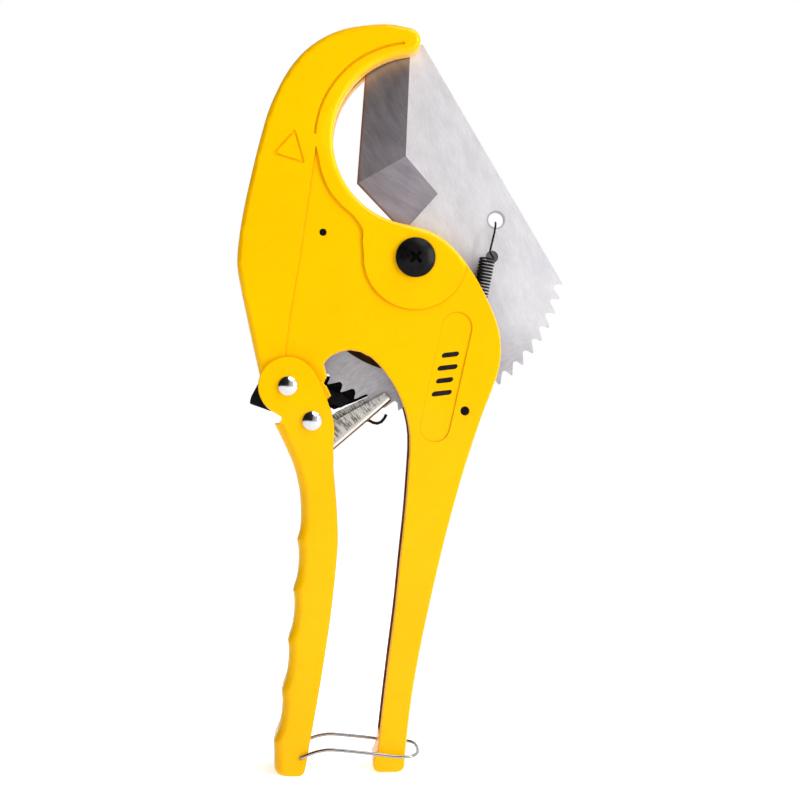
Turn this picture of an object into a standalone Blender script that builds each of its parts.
"""Ratchet cutter for plastic pipe: die-cast hook body, toothed blade, ratchet handle and bail.

The tool stands upright: X runs across it, Z runs up to the hook, and the front looks along -Y.
Every length below is in millimetres and is scaled to metres when a mesh is made.
"""
import bmesh
import bpy
from math import acos, atan2, ceil, cos, degrees, hypot, pi, radians, sin
from mathutils import Matrix, Vector

MM = 0.001

# ---- driving dimensions (millimetres, degrees) -------------------------------------------
PIVOT = (5.3, 211.2)            # blade pivot screw, seen from the front as (x, z)
HANDLE_RIVET = (-46.7, 158.6)   # moving handle and release lever turn here
PAWL_RIVET = (-36.9, 144.4)     # drive pawl turns here, on the moving handle
BAIL_HOLE = (-41.4, 7.6)        # bail hinge near the end of the moving handle
SPRING_ANCHOR = (25.6, 148.4)   # pin between the cheeks that holds the return spring
STOP_PIN = (-32.5, 221.4)       # pin that limits how far the blade opens
SPRING_HOLE = (39.4, 227.9)     # hole in the blade for the return spring
BLIND_SPOT = (37.7, 212.5)      # shallow round recess in the blade

JAW_CENTRE = (6.9, 259.8)
JAW_RADIUS = 35.3
HOOK_TIP = (2.3, 300.2)
HOOK_TIP_RADIUS = 5.3

BODY_HALF = 11.6                # raised cheek faces
CHEEK_HALF = 10.8               # lowered cheek faces and the fixed handle
HOLLOW_HALF = 9.0               # inside of the cheeks
SLOT_HALF = 2.6                 # blade slot through the hook and the pivot boss
RIM_RADIUS = 1.9
BAND_DEPTH = 0.5                # line along the jaw band
PANEL_DEPTH = 0.35              # plain panel on the fixed handle
BOSS_RADIUS = 21.2
BOSS_CORE_RADIUS = 15.0
LUG_RADIUS = 12.3
APRON_RADIUS = 49.6             # lower rim of the back cheek in the arch

BLADE_HALF = 1.5
EDGE_HALF = 0.15
TOOTH_RADIUS = 62.9
ROOT_RADIUS = 59.3
TOOTH_PITCH = 5.79
TOOTH_COUNT = 23
TOOTH_LAND = 0.5                # blunt end of each tooth, degrees
FIRST_TOOTH = -9.2
TIP_RADIUS = 89.4
SLOT_RADIUS = 90.3
RACK_SLOT_RADIUS = 65.0

HANDLE_HALF = 13.4              # outside of the moving handle's channel
SHEET = 1.5                     # its sheet thickness
HANDLE_CORNER = 4.2             # outside bend of the channel
EAR_RADIUS = 11.9
FINGER_FIRST = 14.0             # height of the lowest finger ridge
FINGER_PITCH = 20.5
FINGER_RISE = 1.3
FINGER_SPREAD = 8.5             # half width of a ridge

SCREW_RADIUS = 4.0
SCREW_HEAD_RADIUS = 8.15
SCREW_HEAD_HEIGHT = 3.5
RIVET_RADIUS = 3.0
PAWL_RIVET_RADIUS = 2.6
RIVET_HEAD_RADIUS = 3.9
RIVET_HEAD_HEIGHT = 2.0
NUT_FLATS = 13.0
NUT_HEIGHT = 5.0
NUT_SEAT = 8.5                  # bottom of the nut's pocket in the back cheek
ANCHOR_PIN_RADIUS = 1.6
STOP_PIN_RADIUS = 1.2
PIN_HALF = 10.5                 # half length of both cross pins
GAP = 0.3                       # running and assembly clearance

LEVER_HUB_RADIUS = 5.6
REAR_LEAF = (4.3, 5.2)          # the release lever's leaf behind the rack, in Y
LEVER_TAIL_HALF = 7.4

PAWL_HALF = 4.0                 # outside of the drive pawl's channel
PAWL_INSIDE = 2.5
PAWL_BEND = 1.8                 # outside bend of the channel
PAWL_WEB = 31.4                 # length of the web, which ends just outside the teeth
PAWL_FOOT = Vector((-33.0, 128.1))
PAWL_ALONG = Vector((22.3, 19.0)).normalized()
PAWL_INWARD = Vector((-PAWL_ALONG.y, PAWL_ALONG.x))
PAWL_EAR = 15.3                 # length of the taller flanges that carry its rivet
PAWL_EAR_RISE = (8.8, 11.3)     # their height, front and back

COIL_RADIUS = 3.4               # return spring, outside
COIL_Y = -5.3
BAIL_WIRE = 0.7                 # wire radius
BAIL_Y = 14.5                   # wire centre, beside the moving handle
BAIL_END = 0.77                 # shape of its far end: 1 is an ellipse, 0 a rectangle

YELLOW = ((1.0, 0.60, 0.0, 1.0), 0.35, 0.0)
STEEL = ((0.74, 0.73, 0.75, 1.0), 0.35, 1.0)
CHROME = ((0.85, 0.85, 0.86, 1.0), 0.10, 1.0)
BLACK_STEEL = ((0.02, 0.02, 0.022, 1.0), 0.40, 0.6)
ZINC = ((0.78, 0.76, 0.72, 1.0), 0.28, 1.0)


# ---- small geometry helpers --------------------------------------------------------------
def polar(centre, radius, angle):
    """Point at an angle in degrees, counter-clockwise from +X as seen from the front."""
    return (centre[0] + radius * cos(radians(angle)), centre[1] + radius * sin(radians(angle)))


def arc(centre, radius, start, end, step=2.4):
    """Points along an arc, about step millimetres apart."""
    count = max(2, ceil(abs(radians(end - start)) * radius / step))
    return [polar(centre, radius, start + (end - start) * i / count) for i in range(count + 1)]


def curve_through(points, step=3.0):
    """A smooth curve through the given points (Catmull-Rom), ends included."""
    ends = [points[0]] + list(points) + [points[-1]]
    out = [tuple(points[0])]
    for i in range(1, len(ends) - 2):
        a, b, c, d = (Vector(p) for p in ends[i - 1:i + 3])
        count = max(1, ceil((c - b).length / step))
        for k in range(1, count + 1):
            t = k / count
            p = 0.5 * (2 * b + (c - a) * t + (2 * a - 5 * b + 4 * c - d) * t ** 2
                       + (3 * b - a - 3 * c + d) * t ** 3)
            out.append(tuple(p))
    return out


def offset(point, other, distance):
    """Point moved towards another one by a distance."""
    length = hypot(other[0] - point[0], other[1] - point[1])
    return (point[0] + (other[0] - point[0]) * distance / length,
            point[1] + (other[1] - point[1]) * distance / length)


def material(name, look):
    colour, roughness, metallic = look
    found = bpy.data.materials.get(name) or bpy.data.materials.new(name)
    found.use_nodes = True
    shader = found.node_tree.nodes["Principled BSDF"]
    shader.inputs["Base Color"].default_value = colour
    shader.inputs["Roughness"].default_value = roughness
    shader.inputs["Metallic"].default_value = metallic
    return found


def add_object(name, bm, look, origin=(0.0, 0.0, 0.0)):
    """Makes an object from a mesh in millimetres, with its origin at the given point."""
    bmesh.ops.transform(bm, matrix=Matrix.Scale(MM, 4) @ Matrix.Translation(-Vector(origin)), verts=bm.verts)
    bmesh.ops.remove_doubles(bm, verts=bm.verts, dist=0.000002)
    bmesh.ops.recalc_face_normals(bm, faces=bm.faces)
    mesh = bpy.data.meshes.new(name)
    bm.to_mesh(mesh)
    bm.free()
    mesh.shade_smooth()
    mesh.set_sharp_from_angle(angle=radians(32))
    obj = bpy.data.objects.new(name, mesh)
    obj.location = Vector(origin) * MM
    if look:
        mesh.materials.append(material(name, look))
    bpy.context.collection.objects.link(obj)
    return obj


def prism_mesh(outline, y0, y1):
    """Closed prism: an outline of (x, z) points, extruded along Y."""
    bm = bmesh.new()
    ring = [bm.verts.new((x, y0, z)) for x, z in outline]
    face = bm.faces.new(ring)
    extruded = bmesh.ops.extrude_face_region(bm, geom=[face])
    moved = [v for v in extruded["geom"] if isinstance(v, bmesh.types.BMVert)]
    bmesh.ops.translate(bm, vec=(0.0, y1 - y0, 0.0), verts=moved)
    return bm


def prism(name, outline, y0, y1, look=None, origin=(0.0, 0.0, 0.0)):
    return add_object(name, prism_mesh(outline, y0, y1), look, origin)


def turned(name, centre, profile, look, steps=32):
    """Solid turned about an axis along Y: profile points are (radius, y)."""
    bm = bmesh.new()
    rings = []
    for radius, y in profile:
        if radius < 1e-6:
            rings.append([bm.verts.new((centre[0], y, centre[1]))])
        else:
            rings.append([bm.verts.new((x, y, z)) for x, z in
                          [polar(centre, radius, 360 * i / steps) for i in range(steps)]])
    for first, second in zip(rings, rings[1:]):
        for i in range(steps):
            corners = [first[i % len(first)], first[(i + 1) % len(first)],
                       second[(i + 1) % len(second)], second[i % len(second)]]
            bm.faces.new(list(dict.fromkeys(corners)))
    return add_object(name, bm, look, (centre[0], 0.0, centre[1]))


def sleeve(name, centre, inner, outer, y0, y1, look, steps=32):
    """Tube along Y with square ends."""
    profile = [(outer, y0), (outer, y1), (inner, y1), (inner, y0), (outer, y0)]
    return turned(name, centre, profile, look, steps)


def wire(name, points, radius, look, sides=2, origin=(0.0, 0.0, 0.0)):
    """Round wire along a list of (x, y, z) points, with filled ends."""
    curve = bpy.data.curves.new(name, "CURVE")
    curve.dimensions = "3D"
    curve.bevel_depth = radius * MM
    curve.bevel_resolution = sides
    curve.use_fill_caps = True
    curve.render_resolution_u = 0
    spline = curve.splines.new("POLY")
    spline.points.add(len(points) - 1)
    for target, point in zip(spline.points, points):
        target.co = (*((Vector(point) - Vector(origin)) * MM), 1.0)
    spline.use_smooth = True
    curve.materials.append(material(name, look))
    obj = bpy.data.objects.new(name, curve)
    obj.location = Vector(origin) * MM
    bpy.context.collection.objects.link(obj)
    return obj


def rounded(obj, width, segments):
    """Rounds the outer rims of a prism, before anything is cut from it."""
    bevel = obj.modifiers.new("rims", "BEVEL")
    bevel.width = width * MM
    bevel.segments = segments
    bevel.limit_method = "ANGLE"
    bevel.angle_limit = radians(70)
    bevel.use_clamp_overlap = False
    return obj


def cut(target, cutter, operation="DIFFERENCE"):
    """Cuts one object from another, or joins them, and hides the tool object."""
    boolean = target.modifiers.new(cutter.name, "BOOLEAN")
    boolean.operation = operation
    boolean.solver = "EXACT"
    boolean.object = cutter
    cutter.hide_render = True
    cutter.display_type = "WIRE"


def drill(target, centre, radius, y0=-30.0, y1=30.0, steps=28):
    name = f"drill_{target.name}_{len(target.modifiers)}"
    outline = [polar(centre, radius, 360 * i / steps) for i in range(steps)]
    cut(target, prism(name, outline, y0, y1))


# ---- body: hook, two cheeks and fixed handle in one casting ------------------------------
HANDLE_BACK = [(-0.2, 225.3), (8.0, 223.3), (15.0, 220.3), (20.8, 215.4), (25.4, 210.2), (31.6, 200.8),
               (38.3, 186.5), (40.5, 176.0), (39.8, 166.1), (36.5, 156.2), (32.7, 146.3), (26.1, 126.6),
               (20.4, 106.9), (15.4, 87.2), (10.9, 67.6), (6.8, 47.9), (3.5, 28.3), (1.0, 6.0)]
HANDLE_FRONT = [(-12.0, 3.4), (-12.0, 5.6), (-10.3, 9.5), (-8.0, 28.7), (-5.6, 48.3), (-3.1, 67.9),
                (-1.1, 87.5), (1.0, 107.1), (2.5, 126.6), (2.9, 134.5), (2.5, 142.0), (0.1, 151.3),
                (-4.8, 161.1), (-12.9, 170.4), (-21.5, 173.3), (-29.0, 171.0), (-32.1, 167.6)]
BELLY = [(-59.1, 166.5), (-62.2, 180.6), (-65.3, 195.3), (-67.1, 205.0), (-67.4, 210.4), (-66.9, 217.0),
         (-65.0, 229.5), (-61.8, 244.2), (-58.2, 258.9), (-53.7, 273.6), (-46.0, 288.4), (-36.6, 298.3),
         (-24.0, 304.6), (-7.2, 306.9), (2.3, 305.5)]
STOP_TAB = [(-30.5, 161.6), (-33.2, 159.8), (-31.0, 158.6), (-29.2, 154.7), (-30.6, 153.2), (-34.5, 151.6)]


def body_outline():
    loop = arc(JAW_CENTRE, JAW_RADIUS, 97, 257, 3.0)
    loop += curve_through(HANDLE_BACK, 4.6)
    loop += arc((-2.1, 3.6), 3.1, 0, -90, 1.6) + arc((-9.4, 3.1), 2.6, -90, -176, 1.6)
    loop += curve_through(HANDLE_FRONT, 4.6)
    loop += STOP_TAB
    loop += arc(HANDLE_RIVET, LUG_RADIUS, -48, -200)
    loop += curve_through(BELLY, 4.4)
    loop += arc(HOOK_TIP, HOOK_TIP_RADIUS, 80, -62, 1.6)
    return loop


def blade_slot_outline():
    """Everything that the blade sweeps: the rack's circle, the hook's slot, open to the right."""
    loop = arc(PIVOT, SLOT_RADIUS, 60, 121.5, 3.0)
    loop += arc(PIVOT, RACK_SLOT_RADIUS, 128.5, 420, 3.2)
    return loop


def hollow_outline():
    """Space between the cheeks, round the pivot boss and down the fixed handle's channel."""
    loop = [(62.0, 218.0)]
    loop += arc(PIVOT, BOSS_CORE_RADIUS, 27, -190, 3.4)
    loop += arc(JAW_CENTRE, JAW_RADIUS + 8.5, 236, 197, 4.0)
    loop += [(-43.0, 248.5), (-53.0, 232.0), (-60.6, 211.0), (-59.2, 197.0), (-56.0, 180.0), (-53.5, 168.0)]
    loop += [(-56.0, 164.5), (-72.0, 164.5), (-72.0, 138.0), (-22.0, 138.0), (-22.0, 15.0), (-1.2, 15.0)]
    web = curve_through([(-1.2, 15.0), (3.6, 47.9), (7.7, 67.6), (17.2, 106.9), (22.9, 126.6),
                         (30.6, 149.0)], 9.0)
    loop += web[1:]
    loop += [(33.5, 154.0), (62.0, 158.0)]
    return loop


def lowered_outline():
    """The part of each cheek that lies lower than the belly strip and the jaw band."""
    loop = [(-35.4, 256.5), (-42.3, 209.9), (-46.3, 185.5), (-49.4, 160.0), (-52.0, 140.0)]
    loop += [(-52.0, -6.0), (46.0, -6.0), (46.0, 209.0)]
    loop += arc(PIVOT, BOSS_RADIUS, -6, -184, 3.0)
    loop += curve_through([(-16.4, 217.8), (-16.2, 222.4), (-19.9, 228.0), (-25.2, 232.8), (-30.1, 238.9),
                           (-33.3, 247.0), (-34.2, 252.0)], 3.0)
    return loop


def band_groove_outline():
    """Thin line that sets the jaw band off from the rest of the hook."""
    centre, radius, width = (4.4, 258.7), 39.8, 0.9
    return arc(centre, radius, 95, 176, 3.0) + arc(centre, radius + width, 176, 95, 3.0)


def stadium(top, bottom, radius):
    """Outline with round ends about two centres."""
    tilt = degrees(atan2(top[1] - bottom[1], top[0] - bottom[0]))
    return arc(top, radius, tilt - 90, tilt + 90, 1.8) + arc(bottom, radius, tilt + 90, tilt + 270, 1.8)


def blank_triangle(inset):
    """Plain triangle with its top tilted to the right, as a panel on the hook."""
    corners = [(-43.9, 263.6), (-53.4, 253.2), (-39.8, 249.2)]
    middle = (sum(x for x, _ in corners) / 3, sum(z for _, z in corners) / 3)
    inner = [offset(c, middle, inset) for c in corners]
    loop = []
    for i, corner in enumerate(inner):
        loop.append(offset(corner, inner[i - 1], 1.0))
        loop.append(offset(corner, inner[(i + 1) % 3], 1.0))
    return loop


def engraved_ring(target, name, outer, inner, depth, face_half):
    """A thin engraved line on the front and back faces between two outlines."""
    for side, sign in (("front", -1), ("back", 1)):
        near, far = sign * (face_half - depth), sign * (face_half + 2.0)
        ring = prism(f"{name}_{side}", outer, min(near, far), max(near, far))
        core = prism(f"{name}_{side}_core", inner, min(near, far) - 1.0, max(near, far) + 1.0)
        cut(ring, core)
        cut(target, ring)


def body_casting():
    body = rounded(prism("body_casting", body_outline(), -BODY_HALF, BODY_HALF, YELLOW), RIM_RADIUS, 2)
    apron = arc(PIVOT, APRON_RADIUS, -129.0, -102.5, 3.0) + [(-5.0, 173.0), (-16.0, 179.0), (-28.0, 177.0)]
    cut(body, prism("apron", apron, HOLLOW_HALF - 0.5, CHEEK_HALF), "UNION")
    cut(body, prism("hollow", hollow_outline(), -HOLLOW_HALF, HOLLOW_HALF))
    cut(body, prism("blade_slot", blade_slot_outline(), -SLOT_HALF, SLOT_HALF))
    for side, sign in (("front", -1), ("back", 1)):
        near, far = sorted((sign * CHEEK_HALF, sign * (BODY_HALF + 3.0)))
        cut(body, prism(f"lowered_{side}", lowered_outline(), near, far))
        near, far = sorted((sign * (BODY_HALF - BAND_DEPTH), sign * (BODY_HALF + 3.0)))
        cut(body, prism(f"band_line_{side}", band_groove_outline(), near, far))
        near, far = sorted((sign * (CHEEK_HALF - PANEL_DEPTH), sign * (BODY_HALF + 3.0)))
        cut(body, prism(f"panel_{side}", stadium((22.4, 182.8), (13.2, 142.0), 6.3), near, far))
    engraved_ring(body, "triangle", blank_triangle(0.0), blank_triangle(1.5), 0.3, BODY_HALF)
    drill(body, PIVOT, SCREW_RADIUS + GAP)
    drill(body, HANDLE_RIVET, RIVET_RADIUS + GAP)
    drill(body, SPRING_ANCHOR, ANCHOR_PIN_RADIUS + GAP, steps=16)
    drill(body, STOP_PIN, STOP_PIN_RADIUS + GAP, steps=16)
    cut(body, prism("nut_pocket", hexagon(PIVOT, NUT_FLATS + 2 * GAP), NUT_SEAT, BODY_HALF + 3.0))
    return body


# ---- blade with its rack -----------------------------------------------------------------
EDGE_TOP = (-14.3, 298.4)
EDGE_HEEL = (-18.5, 242.8)
GRIND_TOP = (3.7, 300.58)
GRIND_MIDDLE = (1.8, 254.2)
GRIND_CORNER = (15.1, 238.6)
EDGE_END = (0.8, 222.6)


def rack_outline():
    """Ratchet teeth, clockwise from the blade's right corner: steep face, round gullet, back."""
    gullet = [(-0.30, 1.5), (-0.75, 0.5), (-1.55, 0.0), (-2.35, 0.25), (-3.05, 1.0)]
    loop = []
    for k in range(TOOTH_COUNT):
        tip = FIRST_TOOTH - k * TOOTH_PITCH
        loop.append(polar(PIVOT, TOOTH_RADIUS, tip))
        loop += [polar(PIVOT, ROOT_RADIUS + rise, tip + turn) for turn, rise in gullet]
        loop.append(polar(PIVOT, TOOTH_RADIUS - 0.1, tip - TOOTH_PITCH + TOOTH_LAND))
    return loop


def blade_back_outline():
    """Blade edge from the rack's last tooth, past the stop notch and the hub, to the cutting edge."""
    end = FIRST_TOOTH - TOOTH_COUNT * TOOTH_PITCH
    loop = [polar(PIVOT, TOOTH_RADIUS - 2.0, end), polar(PIVOT, 47.3, end)]
    loop += arc(PIVOT, 47.3, end + 2, -104, 3.0) + arc(PIVOT, 35.3, -104, end + 2, 3.0)
    loop += [polar(PIVOT, 33.0, end)] + arc(PIVOT, 14.0, end - 4, -234, 3.0)
    return loop


def blade():
    """Plate with two facets ground on each side, which meet at the cutting edge."""
    flat = rack_outline() + blade_back_outline() + [EDGE_END]
    flat += [GRIND_CORNER, GRIND_MIDDLE, GRIND_TOP] + arc(PIVOT, TIP_RADIUS, 90.9, 87.7, 2.5)
    bm = bmesh.new()
    front, back = {}, {}

    def pair(point, half):
        key = (round(point[0], 4), round(point[1], 4), half)
        if key not in front:
            front[key] = bm.verts.new((point[0], -half, point[1]))
            back[key] = bm.verts.new((point[0], half, point[1]))
        return key

    def plate(keys):
        bm.faces.new([front[k] for k in keys])
        bm.faces.new([back[k] for k in reversed(keys)])

    flat_keys = [pair(p, BLADE_HALF) for p in flat]
    end_flat = pair(EDGE_END, BLADE_HALF)
    end_edge, heel_edge = pair(EDGE_END, EDGE_HALF), pair(EDGE_HEEL, EDGE_HALF)
    corner, middle, top = (pair(p, BLADE_HALF) for p in (GRIND_CORNER, GRIND_MIDDLE, GRIND_TOP))
    tip = pair(EDGE_TOP, EDGE_HALF)
    plate(flat_keys)
    plate([end_flat, end_edge, corner])
    plate([end_edge, heel_edge, middle, corner])
    plate([heel_edge, tip, top, middle])
    for k, key in enumerate(flat_keys[:-1]):
        following = flat_keys[k + 1]
        if key in (end_flat, corner, middle):
            continue
        if following == end_flat:
            bm.faces.new([front[key], back[key], back[end_flat], back[end_edge], front[end_edge],
                          front[end_flat]])
        elif key != top:
            bm.faces.new([front[key], back[key], back[following], front[following]])
    rest = [(top, flat_keys[flat_keys.index(top) + 1]), (flat_keys[-1], flat_keys[0])]
    rest += [(end_edge, heel_edge), (heel_edge, tip), (tip, top)]
    for first, second in rest:
        bm.faces.new([front[first], back[first], back[second], front[second]])
    obj = add_object("blade", bm, STEEL, (PIVOT[0], 0.0, PIVOT[1]))
    drill(obj, PIVOT, 6.3)
    drill(obj, SPRING_HOLE, 3.25)
    for side, sign in (("front", -1), ("back", 1)):
        near, far = sorted((sign * (BLADE_HALF - 0.6), sign * (BLADE_HALF + 2.0)))
        cut(obj, prism(f"spot_{side}", arc(BLIND_SPOT, 2.6, 0, 342, 0.8), near, far))
    return obj


# ---- pivot hardware ----------------------------------------------------------------------
def hexagon(centre, flats):
    return [polar(centre, flats / 2 / cos(pi / 6), 60 * i + 30) for i in range(6)]


def dome_profile(radius, height, seat_y, direction, rim):
    """Button head from its rim to its crown: direction is -1 for the front, 1 for the back."""
    sphere = (radius ** 2 + (height - rim) ** 2) / (2 * (height - rim))
    steps = 4
    widest = acos(1 - (height - rim) / sphere)
    out = [(radius, seat_y), (radius, seat_y + direction * rim)]
    for i in range(1, steps + 1):
        angle = widest * (1 - i / steps)
        out.append((sphere * sin(angle), seat_y + direction * (height - sphere * (1 - cos(angle)))))
    return out


def pivot_screw():
    seat = -(BODY_HALF + GAP)
    end = NUT_SEAT + GAP + NUT_HEIGHT + 0.8
    head = dome_profile(SCREW_HEAD_RADIUS, SCREW_HEAD_HEIGHT, seat, -1, 0.7)
    shank = [(SCREW_RADIUS, seat), (SCREW_RADIUS, end - 0.6), (SCREW_RADIUS - 0.6, end), (0, end)]
    screw = turned("pivot_screw", PIVOT, head[::-1] + shank, BLACK_STEEL, 40)
    for turn in (45, 135):
        cut(screw, cross_arm(turn, seat))
    return screw


def cross_arm(turn, seat):
    """One tapered arm of the driver recess: narrow below the seat, full size above the head."""
    half_length, half_width = 3.5, 0.8
    bm = bmesh.new()
    rings = []
    for scale, y in ((0.55, seat - 0.9), (1.0, seat - SCREW_HEAD_HEIGHT - 0.6)):
        ring = []
        for u, v in ((-1, -1), (1, -1), (1, 1), (-1, 1)):
            distance, angle = hypot(u * half_length, v * half_width), atan2(v * half_width, u * half_length)
            x, z = polar(PIVOT, distance * scale, degrees(angle) + turn)
            ring.append(bm.verts.new((x, y, z)))
        rings.append(ring)
    bm.faces.new(rings[0])
    bm.faces.new(rings[1][::-1])
    for i in range(4):
        bm.faces.new([rings[0][i], rings[0][(i + 1) % 4], rings[1][(i + 1) % 4], rings[1][i]])
    return add_object(f"cross_recess_{turn}", bm, None)


def pivot_nut():
    seat = NUT_SEAT + GAP
    nut = prism("pivot_nut", hexagon(PIVOT, NUT_FLATS), seat, seat + NUT_HEIGHT, BLACK_STEEL)
    drill(nut, PIVOT, SCREW_RADIUS + GAP)
    return nut


def pivot_hardware():
    pivot_screw()
    pivot_nut()
    sleeve("pivot_bush", PIVOT, SCREW_RADIUS + GAP, 6.0, -2.3, 2.3, STEEL)
    for side, sign in (("front", -1), ("back", 1)):
        near, far = sorted((sign * (BLADE_HALF + GAP), sign * (BLADE_HALF + GAP + 0.5)))
        sleeve(f"pivot_washer_{side}", PIVOT, 6.35, 11.5, near, far, STEEL)


# ---- return spring and its pin, blade stop pin -------------------------------------------
def swept(name, path, radii, look, sides=12):
    """Round bar along a path, with its own radius at each point and flat ends."""
    bm = bmesh.new()
    path = [Vector(p) for p in path]
    normal = Vector((0.0, 1.0, 0.0))
    rings = []
    for i, (point, radius) in enumerate(zip(path, radii)):
        tangent = (path[min(i + 1, len(path) - 1)] - path[max(i - 1, 0)]).normalized()
        normal = (normal - tangent * normal.dot(tangent)).normalized()
        side = tangent.cross(normal)
        rings.append([bm.verts.new(point + (normal * cos(a) + side * sin(a)) * radius)
                      for a in [2 * pi * k / sides for k in range(sides)]])
    for first, second in zip(rings, rings[1:]):
        for k in range(sides):
            bm.faces.new([first[k], first[(k + 1) % sides], second[(k + 1) % sides], second[k]])
    bm.faces.new(rings[0][::-1])
    bm.faces.new(rings[-1])
    return add_object(name, bm, look)


def return_spring():
    """Solid envelope of the extension spring: a round bar with a hook at each end."""
    hole, anchor = (38.0, 224.3), (SPRING_ANCHOR[0] - 2.7, SPRING_ANCHOR[1] + 1.2)
    hole_point, anchor_point = (Vector((x, COIL_Y, z)) for x, z in (hole, anchor))
    direction = (anchor_point - hole_point).normalized()
    start, finish = hole_point + direction * 13.0, anchor_point - direction * 9.0
    hook = 0.45
    path = [Vector((hole[0] + 0.4, -0.2, hole[1] + 2.0)), Vector((hole[0] + 0.3, -2.4, hole[1] + 1.6)),
            Vector((hole[0] - 0.4, COIL_Y + 1.2, hole[1] - 2.6)), start - direction * 0.2, start,
            start + direction * 0.8, finish - direction * 0.8, finish, finish + direction * 0.2,
            anchor_point + Vector((-0.1, 0.0, 2.4)), anchor_point + Vector((0.0, 0.0, -1.4))]
    radii = [hook] * 4 + [COIL_RADIUS - 0.4, COIL_RADIUS, COIL_RADIUS, COIL_RADIUS - 0.4] + [hook] * 3
    return swept("return_spring", path, radii, BLACK_STEEL, 16)


def cross_pins():
    pins = (("spring_anchor_pin", SPRING_ANCHOR, ANCHOR_PIN_RADIUS),
            ("blade_stop_pin", STOP_PIN, STOP_PIN_RADIUS))
    for name, centre, radius in pins:
        turned(name, centre, [(0, -PIN_HALF), (radius, -PIN_HALF), (radius, PIN_HALF), (0, PIN_HALF)],
               BLACK_STEEL, 16)


# ---- moving handle -----------------------------------------------------------------------
GRIP_RIGHT = [(-39.6, 2.6), (-38.4, 10.1), (-34.9, 29.5), (-31.7, 48.9), (-28.9, 68.4), (-26.9, 87.9),
              (-26.4, 97.7), (-27.2, 112.3), (-28.1, 122.0), (-28.4, 134.2), (-27.9, 140.7)]
GRIP_LEFT = [(-52.4, 2.6), (-52.1, 9.7), (-49.9, 22.0), (-47.0, 43.8), (-44.4, 66.0), (-42.4, 88.0),
             (-41.5, 104.0), (-42.2, 117.1), (-45.0, 127.5), (-49.1, 136.7), (-52.3, 143.2)]
GRIP_TOP = 143.2


def across(points, z):
    """Where a smooth line through the points has the height z."""
    line = curve_through(points, 1.5)
    for (x0, z0), (x1, z1) in zip(line, line[1:]):
        if z0 <= z <= z1:
            return x0 + (x1 - x0) * (z - z0) / (z1 - z0)
    return line[0][0] if z < line[0][1] else line[-1][0]


def finger_rise(z):
    """Five narrow ridges on the outside of the grip, with a shallow hollow for a finger between."""
    rise = 0.0
    for k in range(5):
        distance = abs(z - (FINGER_FIRST + k * FINGER_PITCH)) / FINGER_SPREAD
        if distance < 1:
            rise += FINGER_RISE * (1 - distance) ** 2
    return rise


def channel_section(left, right, z):
    """Closed U-shaped section of the handle at one height, open to the right."""
    hw, c, inner = HANDLE_HALF, HANDLE_CORNER, HANDLE_CORNER - SHEET
    bend = [30 * i for i in range(4)]
    outer = [(right, -hw)] + [(left + c - c * sin(radians(a)), -hw + c - c * cos(radians(a))) for a in bend]
    outer += [(left + c - c * cos(radians(a)), hw - c + c * sin(radians(a))) for a in bend] + [(right, hw)]
    hollow = [(right, hw - SHEET)] + [(left + c - inner * sin(radians(a)), hw - c + inner * cos(radians(a)))
                                      for a in bend]
    hollow += [(left + c - inner * cos(radians(a)), -hw + c - inner * sin(radians(a))) for a in bend]
    hollow += [(right, -hw + SHEET)]
    return [(x, y, z) for x, y in outer + hollow]


def ear_outline():
    """Flat ear round the rivet; its neck overlaps the top of the channel."""
    loop = arc(HANDLE_RIVET, EAR_RADIUS, 236, 40, 2.2)
    loop += curve_through([(-36.4, 165.0), (-33.2, 159.0), (-30.8, 152.9), (-29.1, 148.0), (-28.0, 143.0),
                           (-27.9, 139.0), (-28.25, 134.2), (-28.15, 126.0)], 2.4)
    loop += [(-36.0, 126.0), (-44.0, 135.6), (-48.4, 142.6), (-50.6, 143.5), (-49.3, 144.6), (-49.3, 146.0)]
    return loop


def moving_handle():
    heights = [0.0, 0.5, 1.4, 2.8]
    ridges = [FINGER_FIRST + k * FINGER_PITCH for k in range(5)]
    heights += [z + shift for z in ridges for shift in (-8.5, -4.5, -1.8, 0.0, 1.8, 4.5, 8.5)]
    heights += [GRIP_TOP - step for step in (34.0, 27.0, 20.0, 15.0, 10.0, 5.0, 0.0)]
    end_round = {0.0: 2.6, 0.5: 1.4, 1.4: 0.6, 2.8: 0.1}
    bm = bmesh.new()
    previous = None
    for z in heights:
        shrink = end_round.get(z, 0.0)
        left = across(GRIP_LEFT, max(z, 2.6)) - finger_rise(z) + shrink
        right = across(GRIP_RIGHT, max(z, 2.6)) - shrink
        if z > 128.0:
            right -= (z - 128.0) * 0.2
        ring = [bm.verts.new(p) for p in channel_section(left, right, z)]
        if previous:
            for i in range(len(ring)):
                j = (i + 1) % len(ring)
                bm.faces.new([previous[i], previous[j], ring[j], ring[i]])
        else:
            bm.faces.new(ring[::-1])
        previous = ring
    bm.faces.new(previous)
    handle = add_object("moving_handle", bm, YELLOW, (HANDLE_RIVET[0], 0.0, HANDLE_RIVET[1]))
    for side, sign in (("front", -1), ("back", 1)):
        near, far = sorted((sign * (HANDLE_HALF - SHEET), sign * HANDLE_HALF))
        cut(handle, prism(f"ear_{side}", ear_outline(), near, far), "UNION")
    drill(handle, HANDLE_RIVET, RIVET_RADIUS + GAP)
    drill(handle, PAWL_RIVET, PAWL_RIVET_RADIUS + GAP)
    drill(handle, BAIL_HOLE, BAIL_WIRE + GAP, steps=16)
    return handle


# ---- rivets, spacers, pawls and their springs --------------------------------------------
def rivet(name, centre, shank):
    seat = HANDLE_HALF + GAP
    front = dome_profile(RIVET_HEAD_RADIUS, RIVET_HEAD_HEIGHT, -seat, -1, 0.35)
    back = dome_profile(RIVET_HEAD_RADIUS, RIVET_HEAD_HEIGHT, seat, 1, 0.35)
    return turned(name, centre, front[::-1] + [(shank, -seat), (shank, seat)] + back, CHROME, 24)


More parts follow.
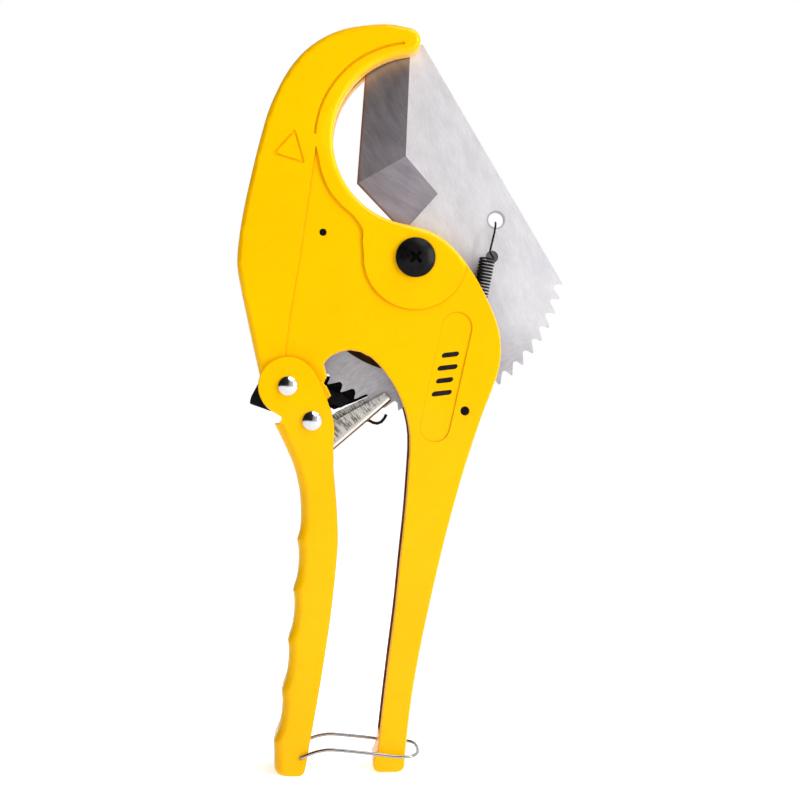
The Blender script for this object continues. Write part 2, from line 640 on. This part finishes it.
def spacers():
    for side, sign, start in (("front", -1, 3.9), ("back", 1, REAR_LEAF[1] + GAP)):
        near, far = sorted((sign * start, sign * (HOLLOW_HALF - GAP)))
        sleeve(f"lever_spacer_{side}", HANDLE_RIVET, RIVET_RADIUS + GAP, 4.6, near, far, ZINC, 24)
        near, far = sorted((sign * (PAWL_HALF + GAP), sign * (HANDLE_HALF - SHEET - GAP)))
        sleeve(f"pawl_spacer_{side}", PAWL_RIVET, PAWL_RIVET_RADIUS + GAP, 4.0, near, far, ZINC, 24)


def release_lever():
    """Holding pawl and thumb tail in one: the nose drops between teeth, the tail frees it."""
    hub = 6.6
    arm = [(-55.5, 161.0), (-58.0, 158.5), (-59.0, 152.8), (-54.5, 150.4)]
    arm += arc(HANDLE_RIVET, hub, -118, -62, 2.0)
    arm += [(-36.0, 153.4), (-30.6, 152.0), (-25.4, 149.6), (-22.6, 151.0), (-21.9, 153.4), (-25.2, 155.8),
            (-29.8, 157.2), (-35.0, 160.2)]
    arm += arc(HANDLE_RIVET, hub, 22, 128, 2.0)
    lever = prism("release_lever", arm, -2.1, 2.1, BLACK_STEEL, (HANDLE_RIVET[0], 0.0, HANDLE_RIVET[1]))
    rounded(lever, 0.4, 1)
    hub_outline = arc(HANDLE_RIVET, LEVER_HUB_RADIUS, 0, 345, 1.8)
    cut(lever, prism("lever_hub", hub_outline, -3.6, REAR_LEAF[1]), "UNION")
    leaf = [(-43.6, 162.8), (-36.0, 163.0), (-30.0, 162.8), (-24.0, 162.2), (-17.0, 160.0), (-11.5, 157.4),
            (-10.8, 155.9), (-19.0, 152.2), (-28.0, 148.9), (-34.0, 152.2), (-43.2, 154.6)]
    cut(lever, prism("lever_leaf", leaf, *REAR_LEAF), "UNION")
    tail = [(-52.4, 152.0), (-53.7, 148.2), (-62.6, 151.4), (-62.0, 154.2), (-59.3, 159.3), (-53.6, 161.6)]
    cut(lever, rounded(prism("lever_tail", tail, -LEVER_TAIL_HALF, LEVER_TAIL_HALF), 0.6, 2), "UNION")
    drill(lever, HANDLE_RIVET, RIVET_RADIUS + GAP)
    return lever


def on_pawl(s, n):
    """Point at a distance s along the channel's bottom and n up from it, as (x, z)."""
    return tuple(PAWL_FOOT + PAWL_ALONG * s + PAWL_INWARD * n)


def pawl_section(s, front, back):
    """U-shaped section of the drive pawl with its own height for each flange."""
    flat, corner = PAWL_HALF - PAWL_BEND, [22.5 * i for i in range(5)]
    floor = PAWL_HALF - PAWL_INSIDE
    loop = [(-PAWL_HALF, front)]
    loop += [(-flat - PAWL_BEND * cos(radians(a)), PAWL_BEND - PAWL_BEND * sin(radians(a))) for a in corner]
    loop += [(flat + PAWL_BEND * sin(radians(a)), PAWL_BEND - PAWL_BEND * cos(radians(a))) for a in corner]
    loop += [(PAWL_HALF, back), (PAWL_INSIDE, back), (PAWL_INSIDE, floor + 0.3), (flat, floor)]
    loop += [(-flat, floor), (-PAWL_INSIDE, floor + 0.3), (-PAWL_INSIDE, front)]
    return [(on_pawl(s, n)[0], y, on_pawl(s, n)[1]) for y, n in loop]


def drive_pawl():
    """Pressed channel: two flanges beside the rack, a web below it whose end pushes the teeth."""
    sections = [(2.0, *PAWL_EAR_RISE), (PAWL_EAR, *PAWL_EAR_RISE), (17.5, 8.3, 11.3), (33.0, 5.2, 7.2),
                (36.2, 4.6, 5.2), (37.7, 4.3, 4.4)]
    bm = bmesh.new()
    rings = [[bm.verts.new(p) for p in pawl_section(*section)] for section in sections]
    bm.faces.new(rings[0][::-1])
    bm.faces.new(rings[-1])
    for first, second in zip(rings, rings[1:]):
        for i in range(len(first)):
            j = (i + 1) % len(first)
            bm.faces.new([first[i], first[j], second[j], second[i]])
    pawl = add_object("drive_pawl", bm, ZINC, (PAWL_RIVET[0], 0.0, PAWL_RIVET[1]))
    foot = [(-41.6, 137.0), (-38.0, 131.0), on_pawl(1.5, 0.6), on_pawl(2.5, 1.9), on_pawl(PAWL_EAR, 1.9)]
    for side, sign, top in (("front", -1, PAWL_EAR_RISE[0]), ("back", 1, PAWL_EAR_RISE[1])):
        near, far = sorted((sign * PAWL_INSIDE, sign * PAWL_HALF))
        ear = arc(PAWL_RIVET, 6.0, 36, 205, 2.0) + foot + [on_pawl(PAWL_EAR, top)]
        cut(pawl, prism(f"pawl_ear_{side}", ear, near, far), "UNION")
    nose = [on_pawl(PAWL_WEB, -1.0), on_pawl(40.0, -1.0), on_pawl(40.0, 1.9), on_pawl(PAWL_WEB, 1.9)]
    cut(pawl, prism("pawl_nose", nose, -PAWL_INSIDE, PAWL_INSIDE))
    drill(pawl, PAWL_RIVET, PAWL_RIVET_RADIUS + GAP)
    return pawl


def torsion_spring(name, centre, coil, start, turns, levels, before, after):
    """Coil round a spacer, from one level of Y to another, between the points of its two legs.

    The coil is given as (mean radius, wire radius), and its first point by an angle.
    """
    count = round(14 * turns)
    points = list(before)
    for i in range(count + 1):
        x, z = polar(centre, coil[0], start + 360.0 * turns * i / count)
        points.append((x, levels[0] + (levels[1] - levels[0]) * i / count, z))
    return wire(name, points + after, coil[1], BLACK_STEEL, 1)


def torsion_springs():
    hook = [(-34.4, 5.9, 139.7), (-22.0, 5.3, 142.6), (-15.4, 5.0, 144.5), (-13.3, 4.7, 144.3),
            (-11.6, 4.1, 143.4), (-9.9, 3.5, 143.1), (-8.2, 2.9, 143.8), (-6.9, 2.4, 145.4),
            (-6.2, 2.2, 146.9)]
    torsion_spring("drive_pawl_spring", PAWL_RIVET, (5.0, 0.65), -165.0, 1.25, (8.0, 6.2),
                   [(-43.2, 8.0, 148.9)], hook)
    torsion_spring("release_lever_spring", HANDLE_RIVET, (5.5, 0.5), 30.0, 1.75, (-4.6, -6.5),
                   [(-37.4, -4.6, 153.6), (-41.3, -4.6, 160.2)],
                   [(-42.8, -6.5, 154.5), (-36.2, -6.4, 158.3)])


# ---- bail --------------------------------------------------------------------------------
def bail_wire():
    """Spring wire loop: hinged in the moving handle, its far end goes round the fixed handle."""
    leg = curve_through([BAIL_HOLE, (-37.5, 9.4), (-31.0, 10.9), (-22.0, 10.3), (-11.0, 9.0), (-4.0, 8.0),
                         (0.4, 7.8)], 4.0)
    reach, start_x = 6.0, 0.7
    front = [(BAIL_HOLE[0], -(HANDLE_HALF - SHEET - 0.8), BAIL_HOLE[1]),
             (BAIL_HOLE[0], -BAIL_Y + 0.8, BAIL_HOLE[1]),
             (BAIL_HOLE[0] + 0.3, -BAIL_Y + 0.2, BAIL_HOLE[1] + 0.15)]
    front += [(x, -BAIL_Y, z) for x, z in leg[1:]]
    front += [(start_x + reach * sin(radians(a)) ** BAIL_END, -BAIL_Y * cos(radians(a)) ** BAIL_END, 7.8)
              for a in (8, 20, 33, 46, 58, 69, 79)]
    points = front + [(start_x + reach, 0.0, 7.8)] + [(x, -y, z) for x, y, z in reversed(front)]
    return wire("bail_wire", points, BAIL_WIRE, CHROME, 2, (BAIL_HOLE[0], 0.0, BAIL_HOLE[1]))


def clear_scene():
    for obj in list(bpy.data.objects):
        bpy.data.objects.remove(obj, do_unlink=True)


def build():
    clear_scene()
    body_casting()
    blade()
    pivot_hardware()
    return_spring()
    cross_pins()
    moving_handle()
    rivet("handle_rivet", HANDLE_RIVET, RIVET_RADIUS)
    rivet("pawl_rivet", PAWL_RIVET, PAWL_RIVET_RADIUS)
    spacers()
    release_lever()
    drive_pawl()
    torsion_springs()
    bail_wire()


build()
